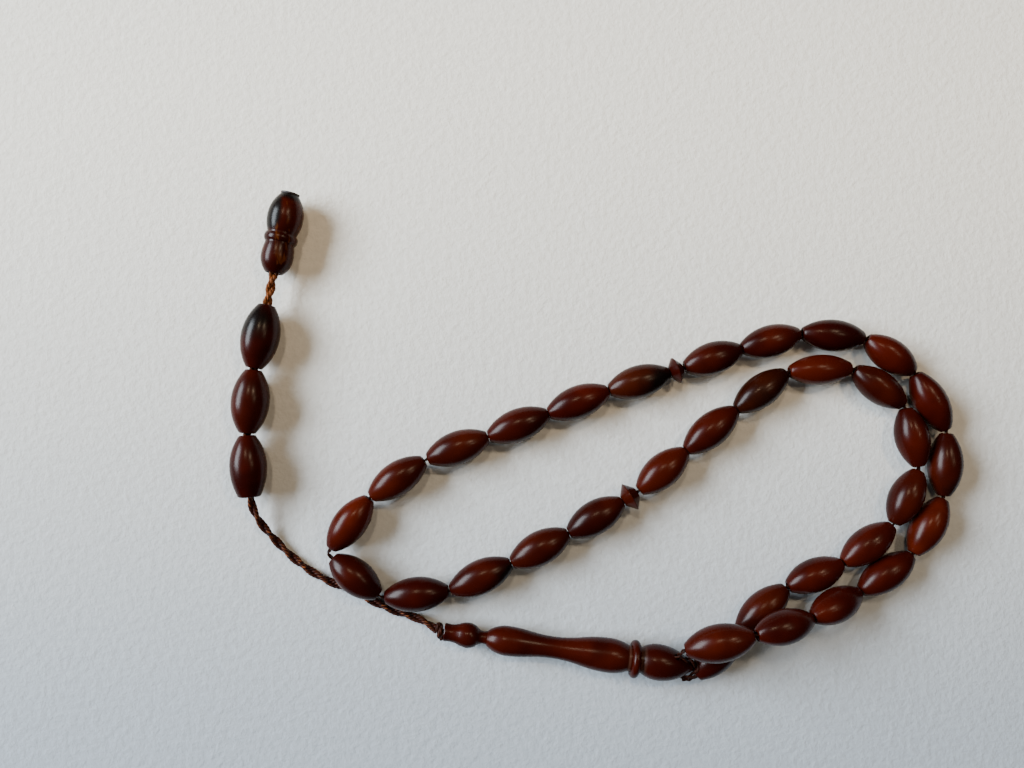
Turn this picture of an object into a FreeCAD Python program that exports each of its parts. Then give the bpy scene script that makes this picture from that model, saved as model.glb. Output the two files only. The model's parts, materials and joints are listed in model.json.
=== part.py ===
import FreeCAD, Part

import math
import os

import Sketcher
from FreeCAD import Placement, Rotation, Vector

# Misbaha: thirty-three olive-shaped beads and two marker discs on one loop of thin cord, whose two
# ends pass through the turned imam and its cap and are twisted into the thicker tail cord. Three
# large beads and a turned finial hang on the tail. The string lies folded on a table.
#
# Frame: millimetres, +Z up, origin on the table at the centre of the footprint, +X along the
# longest extent of the string as it lies.

doc = FreeCAD.newDocument("Misbaha")

# ---------------------------------------------------------------- driving dimensions

SIZES = [
    ("end_radius", 1.25, "radius of a loop bead's flat end"),
    ("rim_round", 0.3, "rounding of the rim round a bead's flat end"),
    ("loop_cord_diameter", 0.9, "single cord that carries the loop"),
    ("loop_bore_diameter", 1.4, "bore of loop beads, discs and the imam's side holes"),
    ("sink", 0.2, "countersink at each mouth of a bore"),
    ("string_gap", 0.06, "slack on each side of a junction between two beads"),
    ("pivot_gap", 0.2, "further slack on each side of a junction where the loop is folded"),
    ("loop_height", 3.7, "height of the loop's bore line above the table"),
    ("disc_rim_width", 0.3, "width of a marker disc's rim"),
    ("disc_hub_radius", 1.25, "radius of a marker disc's flat hub"),
    ("tail_cord_diameter", 1.5, "twisted tail cord"),
    ("tail_bore_diameter", 1.9, "bore of tail beads, cap and finial"),
    ("tail_height", 4.1, "height of the tail beads' bore line above the table"),
    ("tail_end_radius", 1.7, "radius of a tail bead's flat end"),
    ("tail_blunt_radius", 2.3, "radius of the lowest tail bead's blunt end"),
    ("imam_length", 45.3, "imam from its foot to its nose"),
    ("imam_bore_diameter", 2.1, "blind bore along the imam"),
    ("imam_bore_depth", 39.4, "depth of that bore from the foot"),
    ("imam_foot_radius", 1.6, "flat foot, against the cap"),
    ("imam_bulb_at", 4.4, "foot to the crest of the small bulb"),
    ("imam_bulb_radius", 3.15, "small bulb"),
    ("imam_fall_at", 9.0, "foot to where the small bulb turns into the waist"),
    ("imam_fall_radius", 2.75, "radius there"),
    ("imam_waist_at", 14.4, "foot to the waist"),
    ("imam_waist_radius", 2.28, "waist"),
    ("imam_rise_at", 20.5, "foot to where the waist turns into the long bulb"),
    ("imam_rise_radius", 2.95, "radius there"),
    ("imam_belly_at", 26.8, "foot to the crest of the long bulb"),
    ("imam_belly_radius", 3.65, "long bulb"),
    ("imam_neck_at", 30.8, "foot to the groove before the collar"),
    ("imam_neck_radius", 2.8, "grooves on both sides of the collar"),
    ("imam_collar_at", 32.4, "foot to the middle of the collar"),
    ("imam_collar_half", 0.9, "half the collar's width"),
    ("imam_collar_radius", 4.0, "collar"),
    ("imam_collar_side", 3.3, "radius at the collar's edges"),
    ("imam_head_from", 33.9, "foot to the start of the head"),
    ("imam_head_at", 37.5, "foot to the crest of the head"),
    ("imam_head_radius", 3.8, "head"),
    ("imam_nose_at", 44.4, "foot to the start of the nose"),
    ("imam_nose_radius", 1.2, "radius there"),
    ("cap_length", 9.4, "cap from the imam's foot to its mouth"),
    ("cap_foot_radius", 1.4, "cap's face against the imam"),
    ("cap_neck_at", 0.8, "face to the cap's thin neck"),
    ("cap_neck_radius", 1.3, "thin neck"),
    ("cap_flare_at", 2.2, "face to where the neck turns into the ball"),
    ("cap_flare_radius", 1.95, "radius there"),
    ("cap_ball_at", 4.2, "face to the crest of the ball"),
    ("cap_ball_radius", 2.66, "ball"),
    ("cap_fall_at", 6.1, "face to where the ball turns into the sleeve"),
    ("cap_fall_radius", 2.25, "radius there"),
    ("cap_sleeve_at", 8.1, "face to the thinnest place of the sleeve"),
    ("cap_sleeve_radius", 1.84, "thinnest place of the sleeve"),
    ("cap_lip_radius", 1.95, "lip of the sleeve"),
    ("cap_mouth_radius", 1.35, "countersunk mouth of the cap"),
    ("cap_knot_diameter", 2.6, "stopper knot at the cap's mouth"),
    ("finial_length", 17.6, "finial from its mouth to its end face"),
    ("finial_mouth_radius", 1.75, "mouth"),
    ("finial_mouth_depth", 1.6, "depth of the mouth's countersink"),
    ("finial_bulb_at", 3.7, "mouth to the crest of the lower bulb"),
    ("finial_bulb_radius", 3.45, "lower bulb"),
    ("finial_neck_at", 6.4, "mouth to the groove below the collar"),
    ("finial_neck_radius", 3.15, "grooves on both sides of the collar"),
    ("finial_collar_at", 7.7, "mouth to the middle of the collar"),
    ("finial_collar_half", 0.9, "half the collar's width"),
    ("finial_collar_radius", 3.6, "collar"),
    ("finial_collar_side", 3.3, "radius at the collar's edges"),
    ("finial_head_from", 9.0, "mouth to the start of the head"),
    ("finial_head_at", 12.4, "mouth to the crest of the head"),
    ("finial_head_radius", 3.85, "head"),
    ("finial_end_radius", 1.9, "flat end face"),
    ("knot_chamber_radius", 1.5, "chamber for the end knot"),
    ("knot_chamber_from", 11.0, "mouth to the floor of that chamber"),
    ("end_knot_diameter", 2.6, "end knot"),
    ("end_disc_radius", 2.05, "thin disc, a little wider than the finial's end face"),
    ("end_disc_thickness", 0.35, "thin disc that closes the finial"),
    ("end_disc_plug", 1.0, "depth of the disc's plug in the knot chamber"),
]

# Each strung piece: node, heading and slope of its bore in degrees, length, diameter.
# The outer strand leaves the imam's upper side hole and climbs over the inner strand.
OUTER_STRAND = [
    ("bead_01", 14, 9, 14.6, 7.8),
    ("bead_02", 12, -11, 13.2, 7.2),
    ("bead_03", 18, -22, 14.1, 7.2),
    ("bead_04", 34, 0, 13.8, 7.2),
    ("bead_05", 60, 0, 13.8, 7.2),
    ("bead_06", 86, 0, 14.0, 7.2),
    ("bead_07", 118, 0, 14.1, 7.2),
    ("bead_08", 145, 0, 12.7, 7.2),
    ("bead_09", 176, 0, 14.0, 7.1),
    ("bead_10", 195, 0, 13.5, 7.2),
    ("bead_11", 198, 0, 13.3, 7.2),
    ("marker_disc_1", 200, 0, 2.9, 5.9),
    ("bead_12", 196, 0, 13.9, 7.3),
    ("bead_13", 201, 0, 14.1, 7.3),
    ("bead_14", 201, 0, 14.0, 7.3),
    ("bead_15", 200, 0, 14.0, 7.4),
    ("bead_16", 214, 0, 13.9, 7.4),
    ("bead_17", 233, 0, 13.5, 7.4),
]
# The inner strand leaves the imam's lower side hole.
INNER_STRAND = [
    ("bead_33", 46, 0, 13.3, 7.2),
    ("bead_32", 41, 0, 14.0, 7.2),
    ("bead_31", 22, 0, 13.1, 7.2),
    ("bead_30", 36, 0, 13.6, 7.2),
    ("bead_29", 64, 0, 13.0, 7.2),
    ("bead_28", 102, 0, 13.2, 7.2),
    ("bead_27", 144, 0, 13.3, 7.2),
    ("bead_26", 183, 0, 13.9, 6.8),
    ("bead_25", 216, 0, 13.8, 7.2),
    ("bead_24", 219, 0, 14.3, 7.4),
    ("bead_23", 220, 0, 13.5, 7.4),
    ("marker_disc_2", 212, 0, 3.6, 6.5),
    ("bead_22", 210, 0, 13.6, 7.4),
    ("bead_21", 207, 0, 13.9, 7.4),
    ("bead_20", 204, 0, 14.3, 7.4),
    ("bead_19", 185, 0, 13.8, 7.4),
    ("bead_18", 141, 0, 12.8, 7.4),
]
TAIL_STRAND = [
    ("tail_bead_3", 93, 0, 13.3, 7.8),
    ("tail_bead_2", 85, 0, 13.8, 8.1),
    ("tail_bead_1", 79, 0, 14.1, 8.2),
]

# Where each strand starts, in plan.
OUTER_START = (16.8, -45.1)
INNER_START = (20.7, -52.4)
TAIL_START = (-76.3, -13.2)

# The loop folds at the junction before each of these pieces.
FOLDS = ("marker_disc_1", "bead_16", "marker_disc_2", "bead_18")

# The imam lies on its collar and its small bulb, so its axis climbs a little towards the nose.
IMAM_FOOT = Vector(-25.0, -44.0, 3.12)
IMAM_HEADING = -8.0
IMAM_SLOPE = 1.6

# Middle of the cord's way out of the imam, in the imam's own frame (X along its axis from the
# foot, Y to its left, Z up): first along the bore, then out through the side hole.
UPPER_WAY = [Vector(37.0, 0.47, 0.0), Vector(38.6, 0.45, 0.25), Vector(41.1, 2.25, 2.2)]
LOWER_WAY = [Vector(37.0, -0.47, 0.0), Vector(39.8, -0.5, -0.05), Vector(44.2, -3.15, -0.5)]
SIDE_HOLE_REACH = 2.0  # how far a side hole runs on past the imam's skin
SIDE_HOLE_BACK = 0.8  # how far it starts before the cord's bend, inside the blind bore

# The tail cord from the stopper knot to the lowest tail bead, lying on the table.
TAIL_ROUTE = [
    Vector(-38.6, -40.7, 1.5),
    Vector(-42.2, -39.6, 0.8),
    Vector(-47.5, -37.8, 0.8),
    Vector(-54.9, -34.0, 0.8),
    Vector(-60.5, -31.8, 0.8),
    Vector(-66.4, -28.1, 0.8),
    Vector(-71.8, -22.8, 1.0),
    Vector(-75.4, -17.4, 3.1),
]

BORE_SLACK = 0.2  # how far a strung cord may leave the bore line where it bends between beads
LEAST_HALF_TURN = 0.2  # degrees; a corner that turns less is taken as straight
CORD_OVERLAP = 0.8  # how far a cord reaches past a fold, into the next bead's bore
CORD_BREAK = 0.4  # slit between two cords that meet inside a bore


def add_sheet():
    """The spreadsheet with every driving dimension, one alias a row."""
    table = doc.addObject("Spreadsheet::Sheet", "Sizes")
    rows = list(SIZES)
    for node, _heading, _slope, length, diameter in OUTER_STRAND + INNER_STRAND + TAIL_STRAND:
        rows.append((f"{node}_length", length, f"length of {node}"))
        rows.append((f"{node}_diameter", diameter, f"diameter of {node}"))
    for row, (alias, value, note) in enumerate(rows, start=1):
        table.set(f"A{row}", note)
        table.set(f"B{row}", str(value))
        table.setAlias(f"B{row}", alias)
    doc.recompute()
    return table


sheet = add_sheet()


class Dim:
    """A size that carries its number and the sheet expression that gives it."""

    def __init__(self, value, text):
        self.value = float(value)
        self.text = text

    def join(self, sign, other, value):
        text = other.text if isinstance(other, Dim) else str(other)
        return Dim(value, f"({self.text} {sign} {text})")

    def __add__(self, other):
        return self.join("+", other, self.value + number(other))

    def __sub__(self, other):
        return self.join("-", other, self.value - number(other))

    def __mul__(self, other):
        return self.join("*", other, self.value * number(other))

    def __truediv__(self, other):
        return self.join("/", other, self.value / number(other))


def number(size):
    """The plain number of a Dim, or of a number."""
    return size.value if isinstance(size, Dim) else float(size)


def cell(alias):
    """The sheet's cell of that name."""
    return Dim(sheet.get(alias), f"Sizes.{alias}")


ZERO = Dim(0, "0")

# ---------------------------------------------------------------- turned pieces


def edge_radius(kind, near, far):
    """Radius of a profile's arc: level at its crest or waist, or square to the axis at a nose."""
    step = far[0] - near[0]
    if kind == "nose":
        return (step * step + near[1] * near[1]) / (step * 2)
    rise = far[1] - near[1] if far[1].value > near[1].value else near[1] - far[1]
    return (step * step + rise * rise) / (rise * 2)


def edge_shape(kind, near, far):
    """One edge of a profile as a line or an arc through its two ends."""
    start = Vector(near[0].value, near[1].value, 0)
    end = Vector(far[0].value, far[1].value, 0)
    if kind == "line":
        return Part.LineSegment(start, end)
    radius = edge_radius(kind, near, far).value
    chord = end - start
    middle = (start + end) * 0.5
    side = Vector(-chord.y, chord.x, 0).normalize()
    if side.y < 0:
        side = side * -1
    sag = radius - math.sqrt(max(radius**2 - (chord.Length / 2) ** 2, 0))
    bulge = -1 if kind == "waist" else 1
    return Part.Arc(start, middle + side * (sag * bulge), end)


def bind(sketch, constraint, size):
    """Add a size constraint and tie it to the sheet."""
    index = sketch.addConstraint(constraint)
    if size.text != "0":
        sketch.setExpression(f"Constraints[{index}]", size.text)


def place_corner(sketch, edge, end, corner):
    """Hold one corner of a profile at its station along the axis and its radius."""
    along, radius = corner
    if along is ZERO:
        sketch.addConstraint(Sketcher.Constraint("PointOnObject", edge, end, -2))
    else:
        bind(sketch, Sketcher.Constraint("DistanceX", -1, 1, edge, end, along.value), along)
    if radius is ZERO:
        sketch.addConstraint(Sketcher.Constraint("PointOnObject", edge, end, -1))
    else:
        bind(sketch, Sketcher.Constraint("DistanceY", -1, 1, edge, end, radius.value), radius)


def draw_profile(sketch, outline):
    """Draw the closed outline: corners (along, radius, kind of the edge to the next corner)."""
    ends = []
    for index, (along, radius, kind) in enumerate(outline):
        near = (along, radius)
        far = outline[(index + 1) % len(outline)][:2]
        edge = sketch.addGeometry(edge_shape(kind, near, far), False)
        start = Vector(along.value, radius.value, 0)
        forward = (sketch.getPoint(edge, 1) - start).Length < (sketch.getPoint(edge, 2) - start).Length
        first, last = (1, 2) if forward else (2, 1)
        ends.append((edge, first, last))
        place_corner(sketch, edge, first, near)
        if kind != "line":
            radius_of_arc = edge_radius(kind, near, far)
            bind(sketch, Sketcher.Constraint("Radius", edge, radius_of_arc.value), radius_of_arc)
    for (edge, _first, last), (following, first, _last) in zip(ends, ends[1:] + ends[:1]):
        sketch.addConstraint(Sketcher.Constraint("Coincident", edge, last, following, first))


def turned_body(label, outline):
    """A body turned about its own X axis from an outline."""
    body = doc.addObject("PartDesign::Body", label)
    body.Label = label
    sketch = body.newObject("Sketcher::SketchObject", f"{label}_profile")
    plane = next(item for item in body.Origin.OriginFeatures if item.Role == "XY_Plane")
    sketch.AttachmentSupport = [(plane, "")]
    sketch.MapMode = "FlatFace"
    draw_profile(sketch, outline)
    turning = body.newObject("PartDesign::Revolution", f"{label}_turning")
    turning.Profile = sketch
    turning.ReferenceAxis = (sketch, ["H_Axis"])
    turning.Angle = 360.0
    sketch.Visibility = False
    body.Tip = turning
    doc.recompute()
    return body


def round_rims(body, radii):
    """Round the circular rims that have one of the given radii."""
    base = body.Tip
    names = []
    for index, edge in enumerate(base.Shape.Edges, start=1):
        if isinstance(edge.Curve, Part.Circle) and edge.isClosed():
            if any(abs(edge.Curve.Radius - radius) < 1e-6 for radius in radii):
                names.append(f"Edge{index}")
    fillet = body.newObject("PartDesign::Fillet", f"{body.Label}_rims")
    fillet.Base = (base, names)
    fillet.setExpression("Radius", "Sizes.rim_round")
    body.Tip = fillet


def bore_corners(length, bore, near_mouth, far_mouth, near_depth, far_depth):
    """The corners of a through bore with a countersink at each end, from the far end back."""
    return [
        (length, far_mouth, "line"),
        (length - far_depth, bore, "line"),
        (near_depth, bore, "line"),
        (ZERO, near_mouth, "line"),
    ]


def bead(node, bore, near_radius, far_radius):
    """An olive-shaped bead: two arcs that meet level at the belly, flat ends and a bore."""
    length = cell(f"{node}_length")
    belly = cell(f"{node}_diameter") / 2
    sink = cell("sink")
    outline = [
        (ZERO, near_radius, "crest"),
        (length / 2, belly, "crest"),
        (length, far_radius, "line"),
    ]
    outline += bore_corners(length, bore, bore + sink, bore + sink, sink, sink)
    body = turned_body(node, outline)
    round_rims(body, {near_radius.value, far_radius.value})
    return body


def marker_disc(node):
    """A disc of two cones that meet at a narrow rim."""
    width = cell(f"{node}_length")
    rim = cell(f"{node}_diameter") / 2
    half_rim = cell("disc_rim_width") / 2
    hub = cell("disc_hub_radius")
    bore = cell("loop_bore_diameter") / 2
    sink = cell("sink")
    outline = [
        (ZERO, hub, "line"),
        (width / 2 - half_rim, rim, "line"),
        (width / 2 + half_rim, rim, "line"),
        (width, hub, "line"),
    ]
    outline += bore_corners(width, bore, bore + sink, bore + sink, sink, sink)
    return turned_body(node, outline)


def collar_corners(name):
    """The corners of a turned collar with a half-round edge between two grooves."""
    middle = cell(f"{name}_collar_at")
    half = cell(f"{name}_collar_half")
    groove = cell(f"{name}_neck_radius")
    side = cell(f"{name}_collar_side")
    return [
        (cell(f"{name}_neck_at"), groove, "line"),
        (middle - half, groove, "line"),
        (middle - half, side, "crest"),
        (middle, cell(f"{name}_collar_radius"), "crest"),
        (middle + half, side, "line"),
        (middle + half, groove, "line"),
        (cell(f"{name}_head_from"), groove, "crest"),
        (cell(f"{name}_head_at"), cell(f"{name}_head_radius"), "crest"),
    ]


def drill(body, mouth, inner):
    """Drill a side hole through a body's skin, from inside out, and check that it cuts."""
    before = body.Shape.Volume
    way = (mouth - inner).normalize()
    start = inner - way * SIDE_HOLE_BACK
    hole = body.newObject("PartDesign::SubtractiveCylinder", f"{body.Label}_side_hole")
    hole.setExpression("Radius", "Sizes.loop_bore_diameter / 2")
    hole.Height = mouth.distanceToPoint(start) + SIDE_HOLE_REACH
    hole.Placement = Placement(start, Rotation(Vector(0, 0, 1), way))
    body.Tip = hole
    doc.recompute()
    if body.Shape.Volume >= before:
        raise RuntimeError(f"a side hole of {body.Label} cut nothing")


def imam():
    """The imam: small bulb, waist, long bulb, collar and head, bored from its foot."""
    bore = cell("imam_bore_diameter") / 2
    outline = [
        (ZERO, cell("imam_foot_radius"), "crest"),
        (cell("imam_bulb_at"), cell("imam_bulb_radius"), "crest"),
        (cell("imam_fall_at"), cell("imam_fall_radius"), "waist"),
        (cell("imam_waist_at"), cell("imam_waist_radius"), "waist"),
        (cell("imam_rise_at"), cell("imam_rise_radius"), "crest"),
        (cell("imam_belly_at"), cell("imam_belly_radius"), "crest"),
    ]
    outline += collar_corners("imam")
    outline += [
        (cell("imam_nose_at"), cell("imam_nose_radius"), "nose"),
        (cell("imam_length"), ZERO, "line"),
        (cell("imam_bore_depth"), ZERO, "line"),
        (cell("imam_bore_depth"), bore, "line"),
        (ZERO, bore, "line"),
    ]
    body = turned_body("imam", outline)
    drill(body, UPPER_WAY[2], UPPER_WAY[1])
    drill(body, LOWER_WAY[2], LOWER_WAY[1])
    return body


def tail_cap():
    """The cap on the imam's foot: thin neck, ball and short sleeve with the cord's mouth."""
    bore = cell("tail_bore_diameter") / 2
    length = cell("cap_length")
    sink = cell("sink")
    outline = [
        (ZERO, cell("cap_foot_radius"), "line"),
        (cell("cap_neck_at"), cell("cap_neck_radius"), "waist"),
        (cell("cap_flare_at"), cell("cap_flare_radius"), "crest"),
        (cell("cap_ball_at"), cell("cap_ball_radius"), "crest"),
        (cell("cap_fall_at"), cell("cap_fall_radius"), "waist"),
        (cell("cap_sleeve_at"), cell("cap_sleeve_radius"), "waist"),
        (length - sink, cell("cap_lip_radius"), "line"),
        (length, cell("cap_lip_radius") - sink / 2, "line"),
    ]
    outline += bore_corners(length, bore, bore + sink / 2, cell("cap_mouth_radius"), sink / 2, sink * 2)
    return turned_body("tail_cap", outline)


def finial():
    """The finial: mouth, lower bulb, collar and head, with a chamber for the end knot."""
    bore = cell("tail_bore_diameter") / 2
    chamber = cell("knot_chamber_radius")
    mouth = cell("finial_mouth_radius")
    length = cell("finial_length")
    outline = [
        (ZERO, mouth + cell("sink") / 2, "crest"),
        (cell("finial_bulb_at"), cell("finial_bulb_radius"), "crest"),
    ]
    outline += collar_corners("finial")
    outline += [
        (length, cell("finial_end_radius"), "line"),
        (length, chamber, "line"),
        (cell("knot_chamber_from"), chamber, "line"),
        (cell("knot_chamber_from"), bore, "line"),
        (cell("finial_mouth_depth"), bore, "line"),
        (ZERO, mouth, "line"),
    ]
    return turned_body("finial", outline)


def end_disc():
    """The thin disc on the finial's end face, with a plug that closes the knot chamber."""
    thickness = cell("end_disc_thickness")
    plug = cell("knot_chamber_radius") - cell("string_gap")
    outline = [
        (ZERO, plug, "line"),
        (cell("end_disc_plug"), plug, "line"),
        (cell("end_disc_plug"), cell("end_disc_radius") - cell("sink") / 2, "line"),
        (cell("end_disc_plug") + thickness, cell("end_disc_radius"), "line"),
        (cell("end_disc_plug") + thickness, ZERO, "line"),
        (ZERO, ZERO, "line"),
    ]
    return turned_body("finial_end_disc", outline)


# ---------------------------------------------------------------- the string's layout


def direction(heading, slope):
    """Unit vector of a heading in plan and a slope above the level, in degrees."""
    turn = math.radians(heading)
    climb = math.radians(slope)
    return Vector(
        math.cos(turn) * math.cos(climb), math.sin(turn) * math.cos(climb), math.sin(climb)
    )


def frame_at(point, heading, slope):
    """Placement that puts a piece's X axis along a heading and slope from a point."""
    turn = Rotation(Vector(0, 0, 1), heading)
    climb = Rotation(Vector(0, 1, 0), -slope)
    return Placement(point, turn.multiply(climb))


class Strung:
    """One piece on a cord: where its bore starts, which way it points and how long it is."""

    def __init__(self, node, heading, slope, length, start, corner):
        self.node = node
        self.heading = heading
        self.slope = slope
        self.length = length
        self.start = start
        self.corner = corner  # where the bore lines of this piece and the one before it cross

    @property
    def way(self):
        return direction(self.heading, self.slope)

    @property
    def end(self):
        return self.start + self.way * self.length

    @property
    def centre(self):
        return self.start + self.way * (self.length / 2)


def string_out(strand, start, height, end_radius):
    """Lay a strand's pieces end to end: each junction opens by what its turn needs."""
    pieces = []
    point = Vector(start[0], start[1], 0)
    for node, heading, slope, length, _diameter in strand:
        way = direction(heading, slope)
        corner = point
        if pieces:
            half_turn = pieces[-1].way.getAngle(way) / 2
            gap = number(cell("string_gap")) + end_radius * math.tan(half_turn)
            if node in FOLDS:
                gap += number(cell("pivot_gap"))
            corner = point + pieces[-1].way * gap
            point = corner + way * gap
        pieces.append(Strung(node, heading, slope, length, point, corner))
        point = pieces[-1].end
    lift = Vector(0, 0, height - pieces[-1].end.z)
    for piece in pieces:
        piece.start = piece.start + lift
        piece.corner = piece.corner + lift
    return pieces


LOOP_HEIGHT = number(cell("loop_height"))
outer = string_out(OUTER_STRAND, OUTER_START, LOOP_HEIGHT, number(cell("end_radius")))
inner = string_out(INNER_STRAND, INNER_START, LOOP_HEIGHT, number(cell("end_radius")))
tail = string_out(TAIL_STRAND, TAIL_START, number(cell("tail_height")), number(cell("tail_blunt_radius")))
strung = {piece.node: piece for piece in outer + inner + tail}


def crossing(first, second):
    """Where the level bore lines of two pieces cross beyond their ends, in plan."""
    a, b = first.way, second.way
    gap = second.end - first.end
    reach = (gap.x * b.y - gap.y * b.x) / (a.x * b.y - a.y * b.x)
    return first.end + a * reach


far_corner = crossing(strung["bead_17"], strung["bead_18"])
imam_frame = frame_at(IMAM_FOOT, IMAM_HEADING, IMAM_SLOPE)
imam_back = imam_frame.Rotation.multVec(Vector(-1, 0, 0))
cap_mouth = IMAM_FOOT + imam_back * number(cell("cap_length"))
KNOT_STANDOFF = 1.2  # stopper knot's centre from the cap's mouth
knot_centre = cap_mouth + imam_back * KNOT_STANDOFF
finial_heading = strung["tail_bead_1"].heading
SHORT_CORD_LENGTH = 7.1  # bare cord between the last tail bead and the finial
finial_mouth = strung["tail_bead_1"].end + strung["tail_bead_1"].way * SHORT_CORD_LENGTH
finial_frame = frame_at(finial_mouth, finial_heading, 0)

# ---------------------------------------------------------------- cords


def bend_radius(come, leave, slack):
    """An arc's radius at a corner of a route.

    It is 0.45 of the shorter run over the tangent of half the turn. On a strung cord it is held
    to what keeps the arc within the slack between the cord and the bores of the two beads.
    """
    tangent = math.tan(come.getAngle(leave) / 2)
    radius = 0.45 * min(come.Length, leave.Length) / tangent
    if slack:
        opening = number(cell("string_gap")) + number(cell("end_radius")) * tangent
        root = math.sqrt(2 * slack)
        fitting = (root + math.sqrt(root**2 + 4 * tangent * opening)) / (2 * tangent)
        radius = min(radius, fitting**2)
    return radius


def route_edges(points, slack):
    """Straight runs joined by tangent arcs, and the arcs' radii."""
    edges = []
    radii = []
    here = points[0]
    for before, corner, after in zip(points, points[1:], points[2:]):
        come = corner - before
        leave = after - corner
        half_turn = come.getAngle(leave) / 2
        if math.degrees(half_turn) < LEAST_HALF_TURN:
            continue
        radius = bend_radius(come, leave, slack)
        tangent = radius * math.tan(half_turn)
        start = corner - come.normalize() * tangent
        end = corner + leave.normalize() * tangent
        inward = (leave - come).normalize()
        middle = corner + inward * (radius / math.cos(half_turn) - radius)
        edges.append(Part.LineSegment(here, start).toShape())
        edges.append(Part.Arc(start, middle, end).toShape())
        radii.append(radius)
        here = end
    edges.append(Part.LineSegment(here, points[-1]).toShape())
    return edges, radii


def cord(node, points, diameter, slack=0.0):
    """A plain tube along a route, as a solid whose volume is its section times its length."""
    edges, radii = route_edges(points, slack)
    path = Part.Wire(edges)
    section = Part.Wire(Part.Circle(points[0], points[1] - points[0], diameter / 2).toShape())
    solid = path.makePipeShell([section], True, False)
    if solid.ShapeType != "Solid":
        solid = solid.Solids[0]
    expected = math.pi * (diameter / 2) ** 2 * path.Length
    if abs(solid.Volume / expected - 1) > 0.01:
        raise RuntimeError(f"{node} has volume {solid.Volume:.2f}, not {expected:.2f}")
    feature = doc.addObject("Part::Feature", node)
    feature.Label = node
    feature.Shape = solid
    print(f"{node}: length {path.Length:.1f}, bend radii", *(f"{radius:.1f}" for radius in radii))
    return feature


def from_imam(points):
    """Points of the imam's own frame, in the string's frame."""
    return [imam_frame.multVec(point) for point in points]


def corners(pieces):
    """The corners between consecutive pieces, without the first piece's own start."""
    return [piece.corner for piece in pieces[1:]]


def past(corner, way, distance):
    """A point a distance along a way from a corner."""
    return corner + way * distance


def split_at(pieces, node):
    """The pieces before a node and the pieces from it on."""
    names = [piece.node for piece in pieces]
    index = names.index(node)
    return pieces[:index], pieces[index:]


def loop_cords():
    """Five lengths of the loop's cord: one on each link of the folding loop, two on the imam."""
    thin = number(cell("loop_cord_diameter"))
    reach = CORD_OVERLAP
    rest = CORD_OVERLAP + CORD_BREAK
    first, outer_rest = split_at(outer, "marker_disc_1")
    upper, turn = split_at(outer_rest, "bead_16")
    last, inner_rest = split_at(inner, "marker_disc_2")
    lower, _bead_18 = split_at(inner_rest, "bead_18")
    disc_1, disc_2 = upper[0], lower[0]
    bead_16, bead_18 = strung["bead_16"], strung["bead_18"]
    bead_15, bead_19 = strung["bead_15"], strung["bead_19"]

    lead = past(first[0].start, first[0].way, -0.6)
    points = from_imam(UPPER_WAY) + [lead] + corners(first) + [disc_1.corner]
    cord("loop_cord_outer", points + [past(disc_1.corner, disc_1.way, reach)], thin, BORE_SLACK)
    points = [past(disc_1.corner, disc_1.way, rest)] + corners(upper)
    cord("loop_cord_upper", points + [past(bead_16.corner, bead_15.way, -rest)], thin, BORE_SLACK)
    points = [past(bead_16.corner, bead_15.way, -reach), bead_16.corner] + corners(turn)
    points += [far_corner, bead_18.corner]
    cord("loop_cord_turn", points + [past(bead_18.corner, bead_19.way, -reach)], thin, BORE_SLACK)
    points = [past(disc_2.corner, disc_2.way, rest)] + corners(lower)
    cord("loop_cord_lower", points + [past(bead_18.corner, bead_19.way, -rest)], thin, BORE_SLACK)
    lead = past(last[0].start, last[0].way, -0.5)
    points = from_imam(LOWER_WAY) + [lead] + corners(last) + [disc_2.corner]
    cord("loop_cord_inner", points + [past(disc_2.corner, disc_2.way, reach)], thin, BORE_SLACK)


def ball(node, diameter_cell, centre):
    """A knot as a plain ball."""
    knot = doc.addObject("Part::Sphere", node)
    knot.Label = node
    knot.setExpression("Radius", f"Sizes.{diameter_cell} / 2")
    knot.Placement = Placement(centre, Rotation())
    return knot


KNOT_CLEARANCE = 0.3  # slit between the stopper knot and the cord that swings round it
FINIAL_CORD_FROM = 1.3  # finial's mouth to the start of its own cord
END_KNOT_AT = 13.4  # finial's mouth to the end knot's centre


def tail_cords():
    """The twisted cord in the imam and cap, the tail cord and its end in the finial."""
    thick = number(cell("tail_cord_diameter"))
    knot_radius = number(cell("cap_knot_diameter")) / 2
    foot = imam_frame.multVec(Vector(UPPER_WAY[0].x - CORD_BREAK, 0, 0))
    start = knot_centre - imam_back * (knot_radius + CORD_BREAK / 2)
    cord("imam_cord", [start, foot], thick)
    leave = (TAIL_ROUTE[0] - knot_centre).normalize()
    first = knot_centre + leave * (knot_radius + KNOT_CLEARANCE)
    points = [first] + TAIL_ROUTE + [tail[0].start + tail[0].way * 0.4] + corners(tail)
    points.append(finial_mouth + tail[-1].way * CORD_OVERLAP)
    cord("tail_cord", points, thick)
    along = finial_frame.Rotation.multVec(Vector(1, 0, 0))
    knot_at = finial_mouth + along * END_KNOT_AT
    end_radius = number(cell("end_knot_diameter")) / 2
    inside = [finial_mouth + along * FINIAL_CORD_FROM, knot_at - along * (end_radius + 0.02)]
    cord("finial_cord", inside, thick)
    ball("cap_knot", "cap_knot_diameter", knot_centre)
    ball("end_knot", "end_knot_diameter", knot_at)


# ---------------------------------------------------------------- assembly


def place_strung(body):
    """Put a bead or disc where the layout has it."""
    piece = strung[body.Label]
    body.Placement = frame_at(piece.start, piece.heading, piece.slope)


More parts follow.
